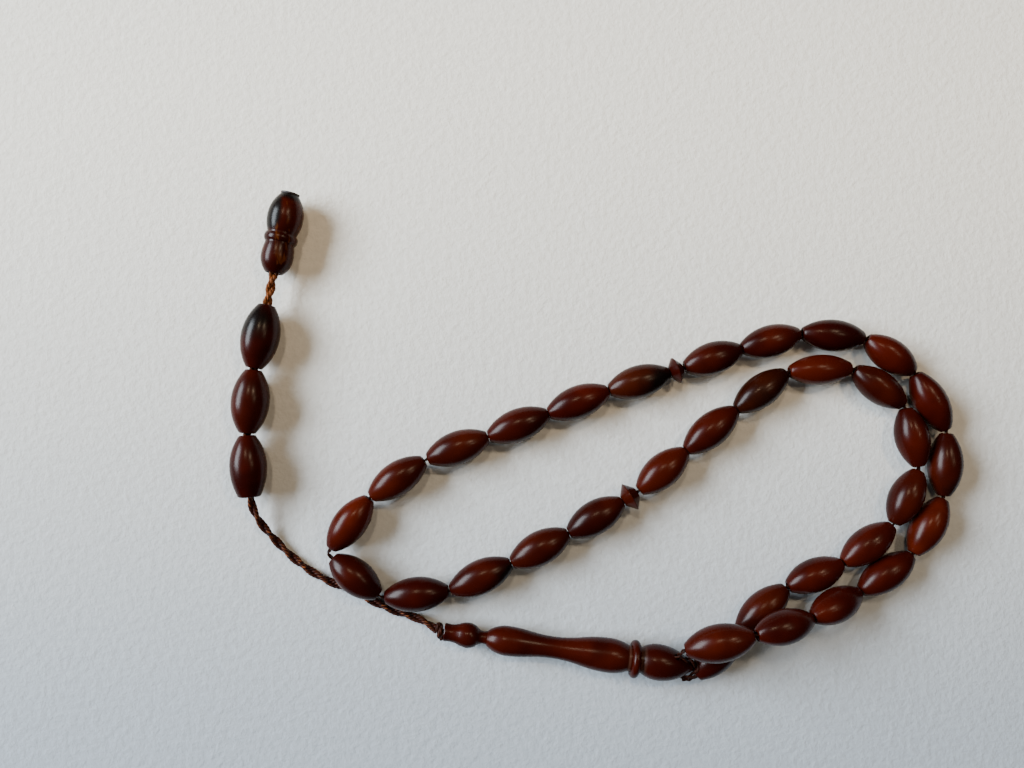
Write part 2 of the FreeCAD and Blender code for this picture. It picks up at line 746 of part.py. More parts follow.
def build_strung_pieces():
    """Every bead and disc."""
    loop_bore = cell("loop_bore_diameter") / 2
    tail_bore = cell("tail_bore_diameter") / 2
    for node in [piece.node for piece in outer + inner]:
        if node.startswith("marker"):
            place_strung(marker_disc(node))
        else:
            place_strung(bead(node, loop_bore, cell("end_radius"), cell("end_radius")))
    for node in [piece.node for piece in tail]:
        lower_end = cell("tail_blunt_radius") if node == "tail_bead_3" else cell("tail_end_radius")
        place_strung(bead(node, tail_bore, lower_end, cell("tail_end_radius")))


def build_turned_pieces():
    """The imam, its cap, the finial and its end disc."""
    imam().Placement = imam_frame
    cap_turn = Rotation(Vector(0, 0, 1), 180)
    tail_cap().Placement = Placement(IMAM_FOOT, imam_frame.Rotation.multiply(cap_turn))
    finial().Placement = finial_frame
    seat = Vector(number(cell("finial_length")) - number(cell("end_disc_plug")), 0, 0)
    end_disc().Placement = Placement(finial_frame.multVec(seat), finial_frame.Rotation)


def sub_parts():
    """The objects that are pieces of the misbaha."""
    kinds = ("PartDesign::Body", "Part::Feature", "Part::Sphere")
    return [item for item in doc.Objects if item.TypeId in kinds]


def check(pieces):
    """Stop if any object failed or any piece has no valid solid."""
    for item in doc.Objects:
        if "Invalid" in item.State or "Error" in item.State:
            raise RuntimeError(f"{item.Label} did not build: {item.State}")
    for piece in pieces:
        shape = piece.Shape
        if shape.isNull() or not shape.isValid() or len(shape.Solids) != 1:
            raise RuntimeError(f"{piece.Label} is not one valid solid")


build_strung_pieces()
build_turned_pieces()
loop_cords()
tail_cords()
doc.recompute()

nodes = sub_parts()
check(nodes)
os.makedirs("parts", exist_ok=True)
for node in nodes:
    node.Shape.exportStep(f"parts/{node.Label}.step")
print(len(nodes), "pieces")
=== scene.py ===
import json
import math
import random

import bmesh
import bpy
from mathutils import Euler, Matrix, Vector


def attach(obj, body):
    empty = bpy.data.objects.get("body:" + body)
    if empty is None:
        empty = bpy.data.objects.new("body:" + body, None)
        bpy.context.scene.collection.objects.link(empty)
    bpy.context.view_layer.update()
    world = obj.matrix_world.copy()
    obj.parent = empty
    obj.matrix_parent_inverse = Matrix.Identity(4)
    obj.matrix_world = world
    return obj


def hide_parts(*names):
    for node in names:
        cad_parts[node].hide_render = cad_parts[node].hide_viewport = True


# Misbaha laid on a table: 33 olive-shaped beads and two marker discs on a thin looped cord, the
# turned imam and its cap, and a two-ply tail cord with three large beads and a finial.
# Routes and sizes are in millimetres, times MM where they meet Blender, whose unit is the metre.

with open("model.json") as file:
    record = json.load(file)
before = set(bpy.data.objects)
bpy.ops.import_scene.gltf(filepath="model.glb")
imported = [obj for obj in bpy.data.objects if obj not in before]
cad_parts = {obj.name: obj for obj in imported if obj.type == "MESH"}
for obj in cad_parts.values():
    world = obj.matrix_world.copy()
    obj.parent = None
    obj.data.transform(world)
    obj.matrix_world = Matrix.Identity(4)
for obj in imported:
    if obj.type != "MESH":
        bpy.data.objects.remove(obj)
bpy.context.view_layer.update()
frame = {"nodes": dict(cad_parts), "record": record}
MM = 0.001

# ---------------------------------------------------------------- camera and light

CAMERA_AT = (-24.6, 4.8, 172.6)
CAMERA_TILT = (2.2, -1.7, 0.0)  # degrees about X, Y and Z, from straight down
CAMERA_LENS = 27.04
SENSOR_WIDTH = 36.0
COOL = (0.84, 0.93, 1.0)
WARM = (1.0, 0.76, 0.50)
WINDOW_POWER = 53.0
ROOM_LIGHT = 0.10
# Place in metres, side in metres and power of each ceiling panel.
CEILING_PANELS = [
    ((-0.09, 0.24, 0.48), 0.048, 0.56),
    ((0.20, 0.22, 0.48), 0.048, 0.70),
    ((0.30, 0.06, 0.48), 0.04, 0.27),
]


def add_camera():
    """The camera above the string, a little off straight down."""
    data = bpy.data.cameras.new("camera")
    data.lens = CAMERA_LENS
    data.sensor_width = SENSOR_WIDTH
    data.clip_start = 0.005
    data.clip_end = 10.0
    camera = bpy.data.objects.new("camera", data)
    camera.location = Vector(CAMERA_AT) * MM
    camera.rotation_euler = Euler([math.radians(angle) for angle in CAMERA_TILT], "XYZ")
    bpy.context.scene.collection.objects.link(camera)
    bpy.context.scene.camera = camera


def add_area(name, at, size, power, colour):
    """A rectangular lamp that faces the string; places and sizes in metres."""
    data = bpy.data.lights.new(name, "AREA")
    data.shape = "RECTANGLE"
    data.size, data.size_y = size
    data.energy = power
    data.color = colour
    lamp = bpy.data.objects.new(name, data)
    lamp.location = at
    lamp.rotation_euler = (-Vector(at)).to_track_quat("-Z", "Y").to_euler()
    bpy.context.scene.collection.objects.link(lamp)


def add_lights():
    """A cool window low on the left, warm ceiling panels near the far edge, and a dark room."""
    add_area("window", (-1.10, 0.30, 0.66), (0.95, 0.56), WINDOW_POWER, COOL)
    for number, (at, side, power) in enumerate(CEILING_PANELS, 1):
        add_area(f"ceiling_panel_{number}", at, (side, side), power, WARM)
    world = bpy.data.worlds.new("room")
    bpy.context.scene.world = world
    world.use_nodes = True
    tree = world.node_tree
    background = tree.nodes["Background"]
    background.inputs["Strength"].default_value = ROOM_LIGHT
    where = tree.nodes.new("ShaderNodeTexCoord")
    split = tree.nodes.new("ShaderNodeSeparateXYZ")
    ramp = tree.nodes.new("ShaderNodeValToRGB")
    low_end, high_end = ramp.color_ramp.elements
    low_end.position = 0.0
    low_end.color = (0.10, 0.10, 0.11, 1.0)
    high_end.position = 0.9
    high_end.color = (1.0, 0.93, 0.84, 1.0)
    tree.links.new(where.outputs["Generated"], split.inputs["Vector"])
    tree.links.new(split.outputs["Z"], ramp.inputs["Fac"])
    tree.links.new(ramp.outputs["Color"], background.inputs["Color"])


# ---------------------------------------------------------------- the string's layout

# Each strung piece: node, heading and slope of its bore in degrees, length, diameter.
OUTER_STRAND = [
    ("bead_01", 14, 9, 14.6, 7.8),
    ("bead_02", 12, -11, 13.2, 7.2),
    ("bead_03", 18, -22, 14.1, 7.2),
    ("bead_04", 34, 0, 13.8, 7.2),
    ("bead_05", 60, 0, 13.8, 7.2),
    ("bead_06", 86, 0, 14.0, 7.2),
    ("bead_07", 118, 0, 14.1, 7.2),
    ("bead_08", 145, 0, 12.7, 7.2),
    ("bead_09", 176, 0, 14.0, 7.1),
    ("bead_10", 195, 0, 13.5, 7.2),
    ("bead_11", 198, 0, 13.3, 7.2),
    ("marker_disc_1", 200, 0, 2.9, 5.9),
    ("bead_12", 196, 0, 13.9, 7.3),
    ("bead_13", 201, 0, 14.1, 7.3),
    ("bead_14", 201, 0, 14.0, 7.3),
    ("bead_15", 200, 0, 14.0, 7.4),
    ("bead_16", 214, 0, 13.9, 7.4),
    ("bead_17", 233, 0, 13.5, 7.4),
]
INNER_STRAND = [
    ("bead_33", 46, 0, 13.3, 7.2),
    ("bead_32", 41, 0, 14.0, 7.2),
    ("bead_31", 22, 0, 13.1, 7.2),
    ("bead_30", 36, 0, 13.6, 7.2),
    ("bead_29", 64, 0, 13.0, 7.2),
    ("bead_28", 102, 0, 13.2, 7.2),
    ("bead_27", 144, 0, 13.3, 7.2),
    ("bead_26", 183, 0, 13.9, 6.8),
    ("bead_25", 216, 0, 13.8, 7.2),
    ("bead_24", 219, 0, 14.3, 7.4),
    ("bead_23", 220, 0, 13.5, 7.4),
    ("marker_disc_2", 212, 0, 3.6, 6.5),
    ("bead_22", 210, 0, 13.6, 7.4),
    ("bead_21", 207, 0, 13.9, 7.4),
    ("bead_20", 204, 0, 14.3, 7.4),
    ("bead_19", 185, 0, 13.8, 7.4),
    ("bead_18", 141, 0, 12.8, 7.4),
]
TAIL_STRAND = [
    ("tail_bead_3", 93, 0, 13.3, 7.8),
    ("tail_bead_2", 85, 0, 13.8, 8.1),
    ("tail_bead_1", 79, 0, 14.1, 8.2),
]
OUTER_START = (16.8, -45.1)  # where each strand begins, in plan
INNER_START = (20.7, -52.4)
TAIL_START = (-76.3, -13.2)
FOLDS = ("marker_disc_1", "bead_16", "marker_disc_2", "bead_18")  # first piece past each fold
STRING_GAP = 0.06  # from a straight junction to the end face on each side
PIVOT_GAP = 0.2  # added to it at a fold
END_RADIUS = 1.25  # of a loop bead's flat ends
RIM_ROUND = 0.5  # of the edge of those ends
LOOP_HEIGHT = 3.7  # of the loop's bores above the table
TAIL_HEIGHT = 4.1
TAIL_END_RADIUS = 1.7
TAIL_BLUNT_RADIUS = 2.3  # of the lowest tail bead's lower end
LOOP_BORE_RADIUS = 0.7
TAIL_BORE_RADIUS = 0.95
SINK = 0.2  # width of the countersink round a bore
DISC_HUB = 1.25  # radius of a marker disc's flat ends
DISC_RIM = 0.3  # width of its rim
IMAM_FOOT = Vector((-25.0, -44.0, 3.12))
IMAM_HEADING = -8.0
IMAM_SLOPE = 1.6
IMAM_LENGTH = 45.3
IMAM_GROOVES = [(30.95, 0.5), (33.95, 0.9)]  # station and reach of those beside the collar
CAP_LENGTH = 9.4
KNOT_STANDOFF = 1.2  # from the cap's mouth to the middle of the stopper knot
SHORT_CORD_LENGTH = 7.1  # of the golden stretch below the finial
FINIAL_LENGTH = 17.6


class Strung:
    """One piece on a cord: its frame at the start of its bore, and its size."""

    def __init__(self, node, heading, slope, length, diameter):
        self.node = node
        self.heading = heading
        self.slope = slope
        self.length = length
        self.diameter = diameter
        self.start = Vector((0, 0, 0))
        self.corner = Vector((0, 0, 0))

    @property
    def way(self):
        return direction(self.heading, self.slope)

    @property
    def end(self):
        return self.start + self.way * self.length


def direction(heading, slope):
    """Unit vector of a heading in plan and a slope above the level, in degrees."""
    turn, climb = math.radians(heading), math.radians(slope)
    return Vector((math.cos(turn) * math.cos(climb), math.sin(turn) * math.cos(climb), math.sin(climb)))


def placement(point, heading, slope):
    """Matrix that puts a piece's X axis along a heading and slope from a point in mm, in metres."""
    turn = Matrix.Rotation(math.radians(heading), 4, "Z") @ Matrix.Rotation(math.radians(-slope), 4, "Y")
    return Matrix.Translation(point * MM) @ turn


def string_out(strand, start, height, end_radius):
    """Lay a strand's pieces end to end, from first to last, with the gap that each turn needs."""
    pieces = []
    point = Vector((*start, 0))
    for row in strand:
        piece = Strung(*row)
        piece.corner = point.copy()
        if pieces:
            gap = STRING_GAP + end_radius * math.tan(pieces[-1].way.angle(piece.way) / 2)
            if piece.node in FOLDS:
                gap += PIVOT_GAP
            piece.corner = point + pieces[-1].way * gap
            point = piece.corner + piece.way * gap
        piece.start = point.copy()
        pieces.append(piece)
        point = piece.end
    lift = Vector((0, 0, height - pieces[-1].end.z))
    for piece in pieces:
        piece.start += lift
        piece.corner += lift
    return pieces


outer = string_out(OUTER_STRAND, OUTER_START, LOOP_HEIGHT, END_RADIUS)
inner = string_out(INNER_STRAND, INNER_START, LOOP_HEIGHT, END_RADIUS)
tail = string_out(TAIL_STRAND, TAIL_START, TAIL_HEIGHT, TAIL_BLUNT_RADIUS)
strung = {piece.node: piece for piece in outer + inner + tail}
body_of = {node: body for body, nodes in frame["record"]["behaviour"]["bodies"].items() for node in nodes}

imam_frame = placement(IMAM_FOOT, IMAM_HEADING, IMAM_SLOPE)
imam_way = direction(IMAM_HEADING, IMAM_SLOPE)
cap_mouth = IMAM_FOOT - imam_way * CAP_LENGTH
knot_centre = cap_mouth - imam_way * KNOT_STANDOFF
finial_way = strung["tail_bead_1"].way
finial_mouth = strung["tail_bead_1"].end + finial_way * SHORT_CORD_LENGTH

# ---------------------------------------------------------------- node materials

BEAD_DEEP = (0.017, 0.0010, 0.0003)
BEAD_RED = (0.039, 0.0030, 0.0005)
BEAD_AMBER = (0.13, 0.036, 0.006)
BEAD_STREAK = (0.010, 0.0010, 0.0004)
BEAD_STAIN = (0.0035, 0.0016, 0.0011)
BEAD_PIT = (0.004, 0.001, 0.001)
OLD_POLISH = (0.080, 0.040, 0.028)
BEAD_ROUGHNESS = (0.21, 0.32)
# The paper's tint is painted light: painted shade, dark and cool, at the near edge, and painted warm
# lamplight at the far edge.
PAPER_NEAR_PAINTED_SHADE = (0.41, 0.465, 0.53)
PAPER_FAR_PAINTED_LIGHT = (0.97, 0.93, 0.84)
PAPER_TURN = 0.085  # metres from the middle of the sheet to where its tint stops changing
# Dark and light colours of a yarn, the colour of the painted highlight (glint) on its crowns, and the two
# golds of the loose short stretch.
THREAD_COLOURS = ((0.005, 0.0012, 0.0006), (0.026, 0.004, 0.0014), (0.09, 0.022, 0.008))
ROPE_COLOURS = ((0.006, 0.0011, 0.0005), (0.038, 0.0046, 0.0011), (0.30, 0.092, 0.028))
ROPE_GOLD = ((0.036, 0.0080, 0.0015), (0.20, 0.056, 0.009))


class Shader:
    """A material under construction: short calls that add nodes and link them."""

    def __init__(self, name):
        self.material = bpy.data.materials.new(name)
        self.material.use_nodes = True
        self.tree = self.material.node_tree
        self.tree.nodes.clear()
        self.output = self.node("ShaderNodeOutputMaterial")
        self.surface = self.node("ShaderNodeBsdfPrincipled")
        self.link(self.surface.outputs["BSDF"], self.output.inputs["Surface"])

    def node(self, kind, **settings):
        made = self.tree.nodes.new(kind)
        for key, value in settings.items():
            setattr(made, key, value)
        return made

    def link(self, source, target):
        self.tree.links.new(source, target)

    def put(self, target, value):
        """Give a socket a number, colour or another node's output."""
        if isinstance(value, bpy.types.NodeSocket):
            self.link(value, target)
        else:
            target.default_value = value

    def attribute(self, name):
        return self.node("ShaderNodeAttribute", attribute_name=name)

    def object_point(self, scale=(1, 1, 1)):
        """The piece's own rest coordinates in metres, stretched by a scale."""
        source = self.node("ShaderNodeTexCoord").outputs["Object"]
        mapping = self.node("ShaderNodeMapping")
        mapping.inputs["Scale"].default_value = scale
        self.link(source, mapping.inputs["Vector"])
        return mapping.outputs["Vector"]

    def noise(self, vector, scale, detail=3.0, roughness=0.5, distortion=0.0):
        made = self.node("ShaderNodeTexNoise")
        self.link(vector, made.inputs["Vector"])
        made.inputs["Scale"].default_value = scale
        made.inputs["Detail"].default_value = detail
        made.inputs["Roughness"].default_value = roughness
        made.inputs["Distortion"].default_value = distortion
        return made.outputs["Fac"]

    def ramp(self, source, stops):
        made = self.node("ShaderNodeValToRGB")
        ramp = made.color_ramp
        while len(ramp.elements) < len(stops):
            ramp.elements.new(0.5)
        for element, (at, colour) in zip(ramp.elements, stops):
            element.position = at
            element.color = colour if len(colour) == 4 else (*colour, 1.0)
        self.link(source, made.inputs["Fac"])
        return made.outputs["Color"]

    def fade(self, source, low, high):
        """0 below low, 1 above high, smooth between."""
        made = self.node("ShaderNodeMapRange", interpolation_type="SMOOTHSTEP")
        self.link(source, made.inputs["Value"])
        made.inputs["From Min"].default_value = low
        made.inputs["From Max"].default_value = high
        return made.outputs["Result"]

    def math(self, operation, first, second=0.0):
        made = self.node("ShaderNodeMath", operation=operation)
        self.put(made.inputs[0], first)
        self.put(made.inputs[1], second)
        return made.outputs["Value"]

    def mix(self, amount, first, second, blend="MIX"):
        made = self.node("ShaderNodeMix", data_type="RGBA", blend_type=blend)
        self.put(made.inputs[0], amount)
        self.put(made.inputs[6], first if isinstance(first, bpy.types.NodeSocket) else (*first, 1.0))
        self.put(made.inputs[7], second if isinstance(second, bpy.types.NodeSocket) else (*second, 1.0))
        return made.outputs[2]

    def bump(self, height, strength, distance, normal=None):
        made = self.node("ShaderNodeBump")
        made.inputs["Strength"].default_value = strength
        made.inputs["Distance"].default_value = distance
        self.link(height, made.inputs["Height"])
        if normal:
            self.link(normal, made.inputs["Normal"])
        return made.outputs["Normal"]

    def set(self, **values):
        for name, value in values.items():
            self.put(self.surface.inputs[name.replace("_", " ")], value)


def polished_stuff(shader, tone_and_shade, stain, streaked=False):
    """The polished red-brown bead stuff: sets its roughness and fine relief, returns its colour."""
    point = shader.object_point()
    cloud = shader.noise(point, 95.0, 2.0, 0.5, 0.4)
    base = shader.mix(shader.fade(cloud, 0.30, 0.72), BEAD_DEEP, BEAD_RED)
    # These factors multiply the colour: each bead's own colour, and painted shade on bead_33.
    if tone_and_shade:
        base = shader.mix(1.0, base, tone_and_shade, "MULTIPLY")
    if streaked:
        vein = shader.noise(shader.object_point((1.0, 0.12, 1.0)), 1000.0, 2.0, 0.5, 0.2)
        amber = shader.math("MULTIPLY", shader.fade(vein, 0.56, 0.70), 0.55)
        base = shader.mix(amber, base, BEAD_AMBER)
    fibre = shader.noise(shader.object_point((1.0, 1.0, 2.0)), 1100.0, 4.0, 0.6, 0.3)
    streaks = shader.math("MULTIPLY", shader.fade(fibre, 0.52, 0.80), 0.30)
    base = shader.mix(streaks, base, BEAD_STREAK)
    if stain:
        patch = shader.noise(point, 260.0, 3.0, 0.6, 0.8)
        soft = shader.math("ADD", shader.math("MULTIPLY", patch, 0.35), stain)
        base = shader.mix(shader.fade(soft, 0.35, 0.80), base, BEAD_STAIN)
    speck = shader.noise(point, 2600.0, 2.0, 0.5)
    specks = shader.fade(speck, 0.755, 0.785)
    base = shader.mix(shader.math("MULTIPLY", specks, 0.55), base, BEAD_PIT)
    wear = shader.noise(point, 700.0, 3.0, 0.6)
    rough = shader.node("ShaderNodeMapRange")
    shader.link(wear, rough.inputs["Value"])
    rough.inputs["To Min"].default_value, rough.inputs["To Max"].default_value = BEAD_ROUGHNESS
    smooth = shader.bump(wear, 0.04, 0.0002)
    pits = shader.bump(specks, 0.30, 0.00005, smooth)
    shader.set(Base_Color=base, Roughness=rough.outputs["Result"], Normal=pits)
    shader.set(IOR=1.42, Specular_IOR_Level=0.17)
    return base


def bead_material():
    """Polished beads, each with its own colour factors, painted shade on bead_33 included, and its own
    dark stain.
    """
    shader = Shader("bead_polished")
    tone_and_shade = shader.attribute("tone_and_shade").outputs["Color"]
    polished_stuff(shader, tone_and_shade, shader.attribute("stain").outputs["Fac"])
    return shader.material


def turned_material(name, point, way, length, grooves, dark_side=None):
    """The same stuff on a turned piece, with pale polish left in its grooves.

    grooves are stations in mm from the piece's foot; dark_side is the direction of a black face.
    """
    shader = Shader(name)
    where = shader.node("ShaderNodeTexCoord").outputs["Object"]
    offset = shader.node("ShaderNodeVectorMath", operation="SUBTRACT")
    shader.link(where, offset.inputs[0])
    offset.inputs[1].default_value = point * MM
    station = shader.node("ShaderNodeVectorMath", operation="DOT_PRODUCT")
    shader.link(offset.outputs["Vector"], station.inputs[0])
    station.inputs[1].default_value = way / MM
    along = station.outputs["Value"]
    stain = None
    if dark_side:
        side = shader.node("ShaderNodeVectorMath", operation="DOT_PRODUCT")
        shader.link(offset.outputs["Vector"], side.inputs[0])
        side.inputs[1].default_value = dark_side / MM
        rise = shader.math("MULTIPLY", shader.fade(side.outputs["Value"], 1.2, 3.6), 0.75)
        head = shader.fade(along, length * 0.44, length * 0.60)
        crown = shader.math("MULTIPLY", shader.fade(along, length * 0.82, length), 0.7)
        stain = shader.math("MAXIMUM", shader.math("MULTIPLY", rise, head), crown)
    base = polished_stuff(shader, None, stain, dark_side is not None)
    for groove, reach in grooves:
        away = shader.math("ABSOLUTE", shader.math("SUBTRACT", along, groove))
        near = shader.math("SUBTRACT", 1.0, shader.fade(away, reach * 0.25, reach))
        base = shader.mix(shader.math("MULTIPLY", near, 0.38), base, OLD_POLISH)
    shader.set(Base_Color=base)
    return shader.material


def end_disc_material():
    """The stuff unpolished, on the finial's end disc: nearly black and dull."""
    shader = Shader("end_disc_dull")
    point = shader.object_point()
    grain = shader.noise(point, 1800.0, 4.0, 0.6)
    base = shader.ramp(grain, [(0.3, (0.010, 0.007, 0.007)), (0.75, (0.045, 0.030, 0.026))])
    shader.set(Base_Color=base, Roughness=0.62, Normal=shader.bump(grain, 0.3, 0.00008))
    return shader.material


def yarn_material(name, dark, light, glint, gold=None):
    """Waxed twisted yarn: fine fibres along it, dark and light by fibre noise, with a painted coppery
    highlight (glint) on the crowns.
    """
    shader = Shader(name)
    uv = shader.node("ShaderNodeTexCoord").outputs["UV"]
    mapping = shader.node("ShaderNodeMapping")
    mapping.inputs["Scale"].default_value = (7.0, 1.1, 1.0)
    mapping.inputs["Rotation"].default_value = (0.0, 0.0, math.radians(20))
    shader.link(uv, mapping.inputs["Vector"])
    fibre = shader.noise(mapping.outputs["Vector"], 1.0, 4.0, 0.6)
    crown = shader.attribute("crown").outputs["Fac"]
    colour = shader.mix(shader.fade(fibre, 0.35, 0.65), dark, light)
    if gold:
        share = shader.attribute("gold").outputs["Fac"]
        colour = shader.mix(share, colour, shader.mix(shader.fade(fibre, 0.3, 0.7), *gold))
    # Painted highlight: the glint colour goes where a yarn's crown faces out from the cord.
    bright = shader.math("MULTIPLY", shader.fade(crown, 0.72, 1.0), shader.fade(fibre, 0.45, 0.62))
    colour = shader.mix(bright, colour, glint)
    shader.set(Base_Color=colour, Roughness=0.5, Normal=shader.bump(fibre, 0.5, 0.00006))
    shader.set(IOR=1.4, Specular_IOR_Level=0.15)
    return shader.material


def paper_material():
    """Plain paper with a fine tooth; its colour is painted warm light far off and painted shade, darker
    and cooler, towards the near edge.
    """
    shader = Shader("paper_floor")
    point = shader.object_point()
    tooth = shader.noise(point, 620.0, 5.0, 0.6)
    cockle = shader.noise(point, 60.0, 2.0, 0.5)
    split = shader.node("ShaderNodeSeparateXYZ")
    shader.link(shader.node("ShaderNodeTexCoord").outputs["Object"], split.inputs["Vector"])
    # depth fades the paper from painted shade at the near edge to painted light at the far edge.
    depth = shader.fade(split.outputs["Y"], -PAPER_TURN, PAPER_TURN)
    light = shader.mix(depth, PAPER_NEAR_PAINTED_SHADE, PAPER_FAR_PAINTED_LIGHT)
    colour = shader.mix(shader.fade(tooth, 0.35, 0.65), shader.mix(0.06, light, (0.0, 0.0, 0.0)), light)
    bump = shader.bump(tooth, 0.8, 0.00035)
    shader.set(Base_Color=colour, Roughness=0.9, Normal=shader.bump(cockle, 0.15, 0.0006, bump))
    shader.set(Specular_IOR_Level=0.25)
    return shader.material


# ---------------------------------------------------------------- turned pieces

SIDES = 96  # facets round a turned piece
ARC_POINTS = 24  # along each half of a bead


def arc_points(near, far, bulge, count):
    """Points of an arc from near to far, level at the end whose radius is the larger (bulge 1)
    or the smaller (bulge -1); the near point is left out."""
    step = far[0] - near[0]
    rise = far[1] - near[1]
    level_far = (rise > 0) == (bulge > 0)
    radius = (step * step + rise * rise) / (2 * abs(rise))
    level = far if level_far else near
    centre_r = level[1] - bulge * radius
    points = []
    for index in range(1, count + 1):
        along = near[0] + step * index / count
        offset = along - level[0]
        points.append((along, centre_r + bulge * math.sqrt(max(radius**2 - offset**2, 0.0))))
    return points


def lathe(name, points, matrix, tone_and_shade, stain=None):
    """Turn a closed profile in mm about X into a smooth mesh; each vertex carries the bead's colour
    factors, painted shade on bead_33 included, and its stain.
    """
    mesh = bpy.data.meshes.new(name)
    vertices = []
    for along, radius in points:
        for side in range(SIDES):
            turn = 2 * math.pi * side / SIDES
            vertices.append((along, radius * math.cos(turn), radius * math.sin(turn)))
    faces = []
    for ring in range(len(points)):
        here = ring * SIDES
        there = (ring + 1) % len(points) * SIDES
        for side in range(SIDES):
            after = (side + 1) % SIDES
            faces.append((here + side, here + after, there + after, there + side))
    mesh.from_pydata([matrix @ (Vector(vertex) * MM) for vertex in vertices], [], faces)
    mesh.attributes.new("tone_and_shade", "FLOAT_COLOR", "POINT")
    mesh.attributes.new("stain", "FLOAT", "POINT")
    tone_and_shade_layer, stains = mesh.attributes["tone_and_shade"], mesh.attributes["stain"]
    longest = max(point[0] for point in points)
    for index, vertex in enumerate(vertices):
        tone_and_shade_layer.data[index].color = (*tone_and_shade, 1.0)
        stains.data[index].value = stain(vertex, longest) if stain else 0.0
    piece = bpy.data.objects.new(name, mesh)
    bpy.context.scene.collection.objects.link(piece)
    finish_mesh(piece)
    return piece


def finish_mesh(piece, angle=35.0):
    """Face the faces outwards and shade them smooth, with sharp edges where they turn hard."""
    mesh = piece.data
    work = bmesh.new()
    work.from_mesh(mesh)
    bmesh.ops.recalc_face_normals(work, faces=work.faces)
    limit = math.radians(angle)
    for edge in work.edges:
        edge.smooth = not (len(edge.link_faces) == 2 and edge.calc_face_angle() > limit)
    for face in work.faces:
        face.smooth = True
    work.to_mesh(mesh)
    work.free()


def dress(shown, material):
    """Give a piece this material alone."""
    shown.data.materials.clear()
    shown.data.materials.append(material)


def stand_for(piece, node):
    """Show a piece in place of a CAD node, on that node's body."""
    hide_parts(node)
    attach(piece, body_of[node])


def bead_profile(length, belly, near_radius, far_radius, bore):
    """Outline of a bead: two arcs, rounded rims, flat ends, countersunk bore."""
    half = length / 2
    points = [(SINK, bore), (0.0, bore + SINK)]
    points += rim(near_radius, half, belly)
    body = arc_points((0.0, near_radius), (half, belly), 1, ARC_POINTS)
    body += arc_points((half, belly), (length, far_radius), 1, ARC_POINTS)
    clear = RIM_ROUND * 0.9
    points += [point for point in body if clear < point[0] < length - clear]
    far = rim(far_radius, half, belly)
    points += [(length - along, radius) for along, radius in reversed(far)]
    points += [(length, bore + SINK), (length - SINK, bore)]
    return points


def rim(end_radius, half, belly):
    """Points of the small rounding between a flat end and the bead's arc."""
    rise = belly - end_radius
    radius = (half * half + rise * rise) / (2 * rise)
    slope = math.asin(half / radius)  # of the arc at the end, above the axis
    reach = RIM_ROUND * math.tan((math.pi / 2 - slope) / 2)
    middle = (RIM_ROUND, end_radius - reach)
    turns = [math.pi - (math.pi / 2 - slope) * step / 4 for step in range(5)]
    return [
        (middle[0] + RIM_ROUND * math.cos(turn), middle[1] + RIM_ROUND * math.sin(turn))
        for turn in turns
    ]


# ---------------------------------------------------------------- looks of single beads

# Red, green and blue factors on the common stuff, for the beads that differ; bead_33's dark factors are
# painted shade, the others the beads' own colour.
TONES_AND_SHADE = {
    "bead_26": (3.0, 4.2, 1.8),
    "bead_17": (1.35, 1.7, 1.2),
    "bead_16": (1.1, 1.3, 1.0),
    "bead_32": (1.05, 1.25, 1.1),
    "bead_12": (0.75, 1.1, 1.5),
    "bead_25": (0.65, 1.1, 1.4),
    "bead_24": (0.85, 0.9, 1.0),
    "bead_09": (0.85, 0.8, 0.9),
    "bead_02": (0.8, 0.75, 0.9),
    # bead_33's low factors are painted shade: the bead lies in shadow.
    "bead_33": (0.55, 0.5, 0.7),
    "bead_05": (1.15, 1.2, 1.0),
    "bead_22": (0.9, 1.0, 1.0),
    "tail_bead_1": (0.75, 0.7, 0.9),
    "tail_bead_2": (0.8, 0.75, 0.9),
    "tail_bead_3": (0.85, 0.8, 0.8),
}
# Where along the bead, on which side (degrees about its axis, 90 up) and how strongly it is dark.
STAINS = {
    "bead_12": (0.18, 30, 0.85),
    "bead_20": (0.05, 30, 0.72),
    "bead_25": (0.60, 60, 0.45),
    "bead_06": (0.10, 110, 0.45),
    "bead_22": (0.25, 20, 0.35),
    "tail_bead_1": (0.75, 35, 0.85),
    "bead_02": (0.5, 20, 0.15),
    "bead_31": (0.4, 70, 0.10),
}


def stain_of(node):
    """A function that gives how dark a bead is at a point of it, or None."""
    if node not in STAINS:
        return None
    at, side, strength = STAINS[node]
    turn = math.radians(side)

    def amount(vertex, longest):
        along, across, up = vertex
        away = abs(along / longest - at)
        radius = math.hypot(across, up) or 1.0
        facing = (across * math.cos(turn) + up * math.sin(turn)) / radius
        return strength * max(0.0, 1.0 - away * 1.8) * (0.5 + 0.5 * facing)

    return amount


def tone_and_shade_of(node):
    """The bead's colour factors, painted shade on bead_33 included: the ones listed, times a small seeded
    drift.
    """
    drift = random.Random(node)
    level = drift.uniform(0.85, 1.2)
    warmth = drift.uniform(0.85, 1.2)
    red, green, blue = TONES_AND_SHADE.get(node, (1.0, 1.0, 1.0))
    return (red * level, green * level * warmth, blue * level)


def add_beads(material):
    """All the strung pieces as smooth turned meshes."""
    for piece in outer + inner + tail:
        place = placement(piece.start, piece.heading, piece.slope)
        if piece.node.startswith("marker"):
            points = disc_profile(piece.length, piece.diameter / 2)
        elif piece.node.startswith("tail"):
            near = TAIL_BLUNT_RADIUS if piece.node == "tail_bead_3" else TAIL_END_RADIUS
            points = bead_profile(
                piece.length, piece.diameter / 2, near, TAIL_END_RADIUS, TAIL_BORE_RADIUS
            )
        else:
            points = bead_profile(
                piece.length, piece.diameter / 2, END_RADIUS, END_RADIUS, LOOP_BORE_RADIUS
            )
        made = lathe(
            f"{piece.node}_turned", points, place, tone_and_shade_of(piece.node), stain_of(piece.node)
        )
        dress(made, material)
        stand_for(made, piece.node)


